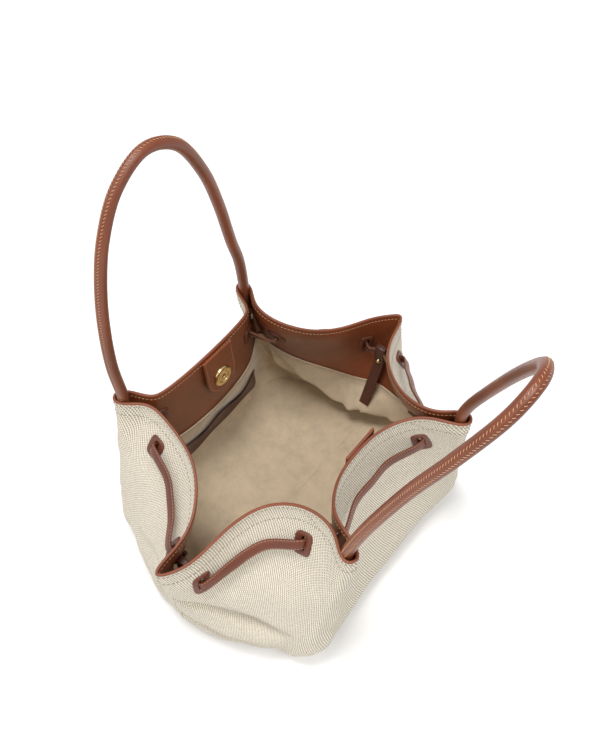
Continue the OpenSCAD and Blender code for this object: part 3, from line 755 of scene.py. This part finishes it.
def stitch_row(name, side, drop, depth, length, pitch, thick, material, inside=False, span=None):
    u = np.linspace(*(span or SPAN[side]), 1400)
    r = row_below_rim(u, drop)
    line = inner_skin(u, r, depth) if inside else skin(u, r, depth)
    n = outward(u, r) * (-1 if inside else 1)
    t = spaced(line, pitch, pitch / 2)
    a = at_index(headings(line), t)
    return stitches(name, at_index(line, t), a, at_index(n, t), length, thick, material, "bag")


for side in ("front", "back"):
    stitch_row(f"rim_stitch_{side}", side, 3.4, -0.02, 2.9, 4.3, 0.75, THREAD_CREAM_PAINTED_SHADE)
    stitch_row(f"hem_stitch_{side}", side, 15.0, -0.02, 2.9, 4.3, 0.75, THREAD_CREAM_PAINTED_SHADE)
    stitch_row(f"facing_stitch_{side}", side, 3.6, FACING_IN + 0.02, 2.7, 3.9, 0.6, THREAD_TAN, True)
    stitch_row(f"lining_stitch_{side}", side, FACING_H - 5.4, LINING_OUT + LINING_T, 2.4, 3.8, 0.45,
               THREAD_CREAM_PAINTED_SHADE, True)

# Chevron of close stitches that closes each handle corner
points, along, ups = [], [], []
for q in range(4):
    for c, reach in ((3, -1.5), (8, 1.5)):
        t = np.linspace(0, 1, 9)
        u = np.array([loop_col(q, c + reach * (1 - k) * 0.6) for k in t])
        r = row_below_rim(u, 6 + 14 * t)
        line = skin(u, r, -0.1)
        points.extend(line)
        along.extend(headings(line))
        ups.extend(outward(u, r))
stitches("corner_chevrons", points, along, ups, 1.9, 0.6, THREAD_CREAM_PAINTED_SHADE, "bag")

# ---------------------------------------------------------------- slot patches
PATCH_STEPS = 64


def blunt(v):
    return math.copysign(math.sqrt(abs(v)), v)


def patch_edge(w, h, a):
    """Outline of a patch: a rectangle with well rounded corners."""
    return w / 2 * blunt(math.cos(a)), h / 2 * blunt(math.sin(a))


def oval(w, h, a):
    r, s = w / 2, math.sin(a)
    return r * math.cos(a), r * s + (h / 2 - r) * math.copysign(min(1, abs(s) * 3), s)


def patch_rings(u, base, thick):
    """Rounded leather patch with an oval slot, bent to the cloth; thick is negative when it lies inside."""
    rings = []
    for i in range(PATCH_STEPS):
        a = 2 * math.pi * (i + 0.5) / PATCH_STEPS
        hole, mid, rim = oval(5.0, STRAP_W + 5, a), patch_edge(12.5, 20, a), patch_edge(PATCH_W, PATCH_H, a)
        shape = [(hole, 1.0, base), (hole, 1.0, base + thick * 0.7), (hole, 1.15, base + thick),
                 (mid, 1.0, base + thick * 1.12), (rim, 0.94, base + thick), (rim, 1.0, base + thick * 0.6),
                 (rim, 1.0, base)]
        rings.append([by_slot(u, o[0] * k, o[1] * k, d) for o, k, d in shape])
    return np.array(rings)


def merge(name, parts, material, sharp=50):
    verts, faces = [], []
    for v, f in parts:
        off = len(verts)
        verts.extend(v)
        faces.extend(tuple(i + off for i in face) for face in f)
    return make_object(name, verts, faces, None, material, sharp)


def loop_faces(n, m):
    return [(i * m + j, ((i + 1) % n) * m + j, ((i + 1) % n) * m + (j + 1) % m, i * m + (j + 1) % m)
            for i in range(n) for j in range(m)]


for side, slots in (("front", FRONT_SLOTS), ("back", BACK_SLOTS)):
    for where, base_d, thick in (("slot", -0.2, -1.5), ("inner", FACING_IN + 0.2, 1.4)):
        parts, centres, along, ups = [], [], [], []
        for u in slots:
            rings = patch_rings(u, base_d, thick)
            parts.append((list(rings.reshape(-1, 3)), loop_faces(*rings.shape[:2])))
            line = np.array([by_slot(u, *patch_edge(PATCH_W - 4, PATCH_H - 4, a), base_d + thick * 1.05)
                             for a in np.linspace(0, 2 * math.pi, 90)])
            n = outward(u, row_below_rim(u, SLOT_DROP)) * (1 if thick < 0 else -1)
            t = spaced(line, 2.3)
            centres.extend(at_index(line, t))
            along.extend(at_index(headings(line), t))
            ups.extend([n] * len(t))
        obj = merge(f"{where}_patches_{side}", parts, TRIM)
        finish_piece(obj, "bag", "trim_leather", f"{side}_{'slot' if where == 'slot' else 'inner'}_patches")
        stitches(f"{where}_patch_stitch_{side}", centres, along, ups, 1.6, 0.42, THREAD_DARK, "bag")

# ---------------------------------------------------------------- drawstring
SLOT_LOOP = [loop_col(q, c) for q in range(4) for c in (SLOT_COLS if q % 2 == 0 else SLOT_COLS[::-1])]
STRAP_OUT, STRAP_IN = 4.5, 8


def over_skin(u1, u2, t, d):
    u = mix(u1, u2, t)
    return skin(u, row_below_rim(u, SLOT_DROP), d)


def valley_stop(s):
    return np.array([s * (VALLEY_X - 33.0), 0, 117])


def outside_run(a, b, bulge):
    return [by_slot(a, 0, 0, STRAP_IN), by_slot(a, 0, 0, -STRAP_OUT), over_skin(a, b, 0.3, -bulge * 0.85),
            over_skin(a, b, 0.5, -bulge), over_skin(a, b, 0.7, -bulge * 0.85),
            by_slot(b, 0, 0, -STRAP_OUT), by_slot(b, 0, 0, STRAP_IN)]


def strap_profile(w, t):
    """Flat strap section with rounded edges: (across the width, through the thickness)."""
    h, k = w / 2, t / 2
    return [(h, k * 0.4), (h - 0.5, k), (-h + 0.5, k), (-h, k * 0.4), (-h, -k * 0.4), (-h + 0.5, -k),
            (h - 0.5, -k), (h, -k * 0.4)]


def run_tops(a, b):
    """Which way the strap's upper edge points at each place of an outside run."""
    u = mix(a, b, np.array([0, 0, 0.3, 0.5, 0.7, 1, 1]))
    return list(-unit(tangents(u, row_below_rim(u, SLOT_DROP))[1]))


f = SLOT_LOOP
route = (outside_run(f[1], f[2], 9) + [valley_stop(-1)] + outside_run(f[3], f[4], 9)
         + outside_run(f[5], f[6], 13) + outside_run(f[7], f[8], 9) + [valley_stop(1)]
         + outside_run(f[9], f[10], 11) + outside_run(f[11], f[0] + COLS, 12))
UP = [np.array([0, 0, 1.0])]
tops = (run_tops(f[1], f[2]) + UP + run_tops(f[3], f[4]) + run_tops(f[5], f[6])
        + run_tops(f[7], f[8]) + UP + run_tops(f[9], f[10]) + run_tops(f[11], f[0] + COLS))
strap_c = curve(route, 10, True)
strap_h = headings(strap_c, True)
strap_s = unit(np.cross(strap_h, curve(tops, 10, True)))
strap_up = np.cross(strap_s, strap_h)
rings = np.stack([strap_c + strap_up * a + strap_s * b for a, b in strap_profile(STRAP_W, STRAP_T)], 1)
strap = sweep_mesh("drawstring", rings, TRIM, True, sharp=60)
finish_piece(strap, "bag", "trim_leather", "drawstring")


def closed(a):
    return np.concatenate([a, a[:1]])


for name, edge in (("top", 0.39), ("low", -0.39)):
    t = spaced(closed(strap_c), 3.0)
    line, along, up, out = (at_index(closed(a), t) for a in (strap_c, strap_h, strap_up, strap_s))
    for face in (-1, 1):
        stitches(f"drawstring_stitch_{name}_{'in' if face < 0 else 'out'}",
                 line + up * STRAP_W * edge + out * face * STRAP_T / 2,
                 along, out * face, 2.0, 0.4, THREAD_TAN, "bag")

# ---------------------------------------------------------------- cinch tabs
CINCH_W, CINCH_T = 12.0, 1.4
CINCH_ROOM = 1.8
SIDE_DIR = np.array([0, 1.0, 0])
# Lower end of each tail, from the middle of the strap at the valley
TAIL_END = {-1: (18.0, 0, -72), 1: (-25.5, 0, -72)}


def make_cinch_tab(s, where):
    """Strap folded over the drawstring: up one side, over it, down the other and on to the lining."""
    stop = valley_stop(s)
    gap_x = STRAP_T / 2 + CINCH_ROOM + CINCH_T / 2
    gap_z = STRAP_W / 2 + CINCH_ROOM + CINCH_T / 2
    over = [(gap_x, -gap_z - 13), (gap_x, -gap_z), (gap_x, gap_z - 1.5), (0, gap_z + 0.3),
            (-gap_x, gap_z - 1.5), (-gap_x, -gap_z), (-gap_x, -gap_z - 13)]
    points = [stop + np.array([s * x, 0, z]) for x, z in over]
    tail_end = stop + np.array(TAIL_END[s])
    c = curve(points + [points[-1] * 0.45 + tail_end * 0.55, tail_end], 8)
    h = headings(c)
    through = unit(np.cross(h, SIDE_DIR))
    rings = np.stack([c + SIDE_DIR * a + through * b for a, b in strap_profile(CINCH_W, CINCH_T)], 1)
    tab = sweep_mesh(f"cinch_tab_{where}", rings, DARK, sharp=60)
    finish_piece(tab, "bag", "dark_leather", f"{where}_cinch_tab")
    # The stitched half is the one that faces the middle of the bag
    c, h, through = c[32:], h[32:], through[32:]
    for e, name in ((-1, "a"), (1, "b")):
        line = c + SIDE_DIR * e * (CINCH_W / 2 - 1.4)
        t = spaced(line, 2.6)
        out = at_index(through, t)
        out = out * np.sign(out @ [-s, 0, 0])[:, None]
        stitches(f"cinch_stitch_{where}_{name}", at_index(line, t) + out * CINCH_T / 2,
                 at_index(h, t), out, 1.7, 0.4, THREAD_DARK, "bag")


make_cinch_tab(-1, "near")
make_cinch_tab(1, "far")

# ---------------------------------------------------------------- handles
BACK_ROUTE = [(-88, 133, 165), (-88, 133, 182), (-88, 133, 198), (-90, 134, 245), (-86, 135, 296),
              (-77, 137, 340), (-63, 138, 382), (-39, 140, 416), (-4, 141, 432), (30, 140, 415),
              (53, 138, 372), (66, 136, 325), (76, 134, 270), (84, 133, 235), (88, 133, 195),
              (88, 133, 179), (88, 133, 162)]
FRONT_ROUTE = [(-88, -133, 182), (-88, -133, 198), (-88, -133, 215), (-84, -146, 268), (-71, -166, 328),
               (-57, -187, 378), (-36, -205, 420), (-10, -210, 435), (16, -204, 421), (38, -192, 386),
               (62, -173, 330), (82, -151, 264), (88, -138, 226), (88, -133, 205), (88, -133, 189),
               (88, -133, 172)]
# Sides of the rolled section, and the angle of each row of stitches from the seam
HANDLE_SIDES, SEAM_ANGLE = 40, 0.36


def handle_section(w, d):
    """Radius of rolled leather d thick, at angle w from its raised seam."""
    ridge = 0.55 * math.exp(-(w / 0.20) ** 2) - 0.22 * math.exp(-((abs(w) - 0.42) / 0.14) ** 2)
    return d / 2 + ridge


def make_handle(where, points):
    c = curve(points, 12)
    h = headings(c)
    radial = c - np.array([0, c[:, 1].mean(), 300])
    out = unit(radial - h * (h * radial).sum(1)[:, None])
    side = np.cross(h, out)
    rings = []
    for i in range(len(c)):
        ring = []
        for j in range(HANDLE_SIDES):
            w = 2 * math.pi * j / HANDLE_SIDES
            w = w - 2 * math.pi if w > math.pi else w
            rad = handle_section(w, HANDLE_D)
            ring.append(c[i] + out[i] * rad * math.cos(w) + side[i] * rad * math.sin(w))
        rings.append(ring)
    wrap = sweep_mesh(f"handle_{where}", rings, HANDLE, sharp=80)
    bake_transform(wrap)
    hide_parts(*(f"{where}_handle_{part}" for part in ("wrap", "core", "ends")))
    t = spaced(c, 3.1, 26)
    t = t[t < len(c) - 24]
    pc, ph, po, ps = (at_index(a, t) for a in (c, h, out, side))
    for k, name in ((-1, "a"), (1, "b")):
        w = SEAM_ANGLE * k
        normal = po * math.cos(w) + ps * math.sin(w)
        across = ps * math.cos(w) - po * math.sin(w)
        obj = stitches(f"handle_stitch_{where}_{name}", pc + normal * (HANDLE_D / 2 - 0.02),
                       ph * 0.75 + across * 0.66 * k, normal, 2.9, 0.62, THREAD_TAN)
        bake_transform(obj)


make_handle("back", BACK_ROUTE)
make_handle("front", FRONT_ROUTE)

# ---------------------------------------------------------------- snap tabs
X_DIR = np.array([1.0, 0, 0])


def tab_frame(which):
    """Top middle of a tab's face, the way the tab hangs and the way its face looks."""
    side = 1 if which == "back" else -1
    u = 28 if which == "back" else 0
    y = abs(surf(u, row_below_rim(0, 4))[1]) - FACING_IN - 1.4 - TAB_T
    tilt = math.radians(BACK_TAB_TILT if which == "back" else 0)
    hang = np.array([0, -math.sin(tilt), -math.cos(tilt)])
    look = np.array([0, -side * math.cos(tilt), math.sin(tilt) * side])
    return np.array([TAB_X, side * y, wall_z(1 if which == "back" else 0) - 3]), hang, look


def tab_outline(inset, n=28):
    """Half-round tab outline going down one side, round the end and up: (x, drop from the seam)."""
    r = TAB_W / 2 - inset
    y0 = TAB_LEN - TAB_W / 2
    pts = [(-r, -1.5)] + [(-r, y0 * k / 8) for k in range(1, 8)]
    pts += [(-r * math.cos(a), y0 + r * math.sin(a)) for a in np.linspace(0, math.pi, n)]
    return pts + [(r, y0 * k / 8) for k in range(7, 0, -1)] + [(r, -1.5)]


def make_tab(which):
    top, hang, look = tab_frame(which)
    layers = [(0.5, 0.0), (0.0, 0.5), (0.0, TAB_T - 0.5), (0.5, TAB_T)]
    rings = [[top + X_DIR * x + hang * y - look * d for x, y in tab_outline(i)] for i, d in layers]
    rings = np.array(rings)
    nl, m = rings.shape[:2]
    faces = [(i * m + j, i * m + (j + 1) % m, (i + 1) * m + (j + 1) % m, (i + 1) * m + j)
             for i in range(nl - 1) for j in range(m)]
    faces += [tuple(reversed(range(m))), tuple((nl - 1) * m + j for j in range(m))]
    tab = make_object(f"snap_tab_{which}", rings.reshape(-1, 3), faces, None, FACING, 40)
    body = f"{which}_tab"
    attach(tab, body)
    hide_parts(f"{which}_snap_tab")
    line = np.array([top + X_DIR * x + hang * y + look * 0.02 for x, y in tab_outline(2.6, 60)])
    t = spaced(line, 2.9, 1.0)
    a = at_index(headings(line), t)
    stitches(f"snap_tab_stitch_{which}", at_index(line, t), a, np.array([look] * len(t)), 2.0, 0.45,
             THREAD_TAN, body)


make_tab("back")
make_tab("front")


def lathe(name, profile, centre, hang, look, material, steps=72):
    """Round metal piece: (radius, height) profile turned about the direction it looks."""
    rings = []
    for k in range(steps):
        w = 2 * math.pi * k / steps
        spoke = X_DIR * math.cos(w) + hang * math.sin(w)
        rings.append([centre + spoke * r + look * h for r, h in profile])
    return sweep_mesh(name, rings, material, True, sharp=35)


SNAP_PROFILES = {
    "back": [(2.4, 0), (2.4, 1.2), (2.8, 1.8), (3.4, 2.0), (6.2, 2.0), (6.7, 1.6), (7.2, 2.2), (9.6, 2.5),
             (11.0, 2.2), (11.8, 1.4), (12, 0.4), (12, 0)],
    "front": [(0.3, 0), (0.3, 3.2), (1.9, 3.1), (2.5, 2.6), (2.7, 1.7), (7.6, 1.6), (8.0, 1.2), (10.6, 1.1),
              (11.7, 0.7), (12, 0.2), (12, 0)],
}
for which, node in (("back", "back_snap_socket"), ("front", "front_snap_stud")):
    top, hang, look = tab_frame(which)
    centre = top + hang * (TAB_LEN - TAB_W / 2) + look * 0.05
    snap = lathe(f"snap_{which}", SNAP_PROFILES[which], centre, hang, look, BRASS)
    finish_piece(snap, f"{which}_tab", "brass", node)

# ---------------------------------------------------------------- pocket
POCKET_U, POCKET_Z = (2 * LAST - 1.25, 2 * LAST + 2.1), (66, 22)
u = np.linspace(*POCKET_U, 60)[None, :].repeat(24, 0)
t = np.linspace(0, 1, 24)[:, None]
r = row_at_height(u, mix(POCKET_Z[0], POCKET_Z[1], t) + 0 * u)
side_fade = np.sin(math.pi * np.clip((u - POCKET_U[0]) / (POCKET_U[1] - POCKET_U[0]), 0, 1)) ** 0.6
gape = 2.2 * (1 - t) ** 2 * side_fade
outer = inner_skin(u, r, LINING_OUT + LINING_T + 0.9 + gape)
inner = inner_skin(u, r, LINING_OUT + LINING_T + 2.2 + gape)
pocket = sheet_mesh("slip_pocket", outer, inner, cloth_uv(outer), DARK)
finish_piece(pocket, "bag", "dark_leather", "slip_pocket")

# ---------------------------------------------------------------- CAD pieces that stay
KEEP = {"base_board": BOARD, "near_cinch_rivet": BRASS, "far_cinch_rivet": BRASS,
        "ear_bar_tacks": THREAD_CREAM_PAINTED_SHADE, "back_snap_washer": STEEL, "front_snap_washer": STEEL}
for node, material in KEEP.items():
    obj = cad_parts[node]
    obj.data.materials.clear()
    obj.data.materials.append(material)

# ---------------------------------------------------------------- stage
def make_stage():
    mesh = bpy.data.meshes.new("floor")
    size = 6.0
    corners = [(-size, -size, 0), (size, -size, 0), (size, size, 0), (-size, size, 0)]
    mesh.from_pydata(corners, [], [(0, 1, 2, 3)])
    floor = bpy.data.objects.new("floor", mesh)
    bpy.context.scene.collection.objects.link(floor)
    n = Nodes("floor")
    n.bsdf.inputs["Base Color"].default_value = (0.93, 0.93, 0.93, 1)
    n.bsdf.inputs["Roughness"].default_value = 0.9
    n.bsdf.inputs["Specular IOR Level"].default_value = 0.0
    mesh.materials.append(n.mat)


def area_light(name, at, aim, size, power):
    data = bpy.data.lights.new(name, "AREA")
    data.shape = "DISK"
    data.size = size
    data.energy = power
    lamp = bpy.data.objects.new(name, data)
    lamp.location = at
    lamp.rotation_mode = "QUATERNION"
    lamp.rotation_quaternion = (Vector(at) - Vector(aim)).to_track_quat("Z", "Y")
    bpy.context.scene.collection.objects.link(lamp)


make_stage()
AIM = (0, 0, 0.15)
area_light("key", (-0.2, -1.4, 2.2), AIM, 1.0, 18)
area_light("fill", (-1.8, 0.4, 1.5), AIM, 1.6, 12)
area_light("top", (-0.2, 0.2, 2.3), AIM, 0.8, 30)
world = bpy.data.worlds.new("world")
bpy.context.scene.world = world
world.use_nodes = True
world.node_tree.nodes["Background"].inputs[0].default_value = (1, 1, 1, 1)
world.node_tree.nodes["Background"].inputs[1].default_value = 0.56
bpy.context.scene.view_settings.view_transform = "Standard"
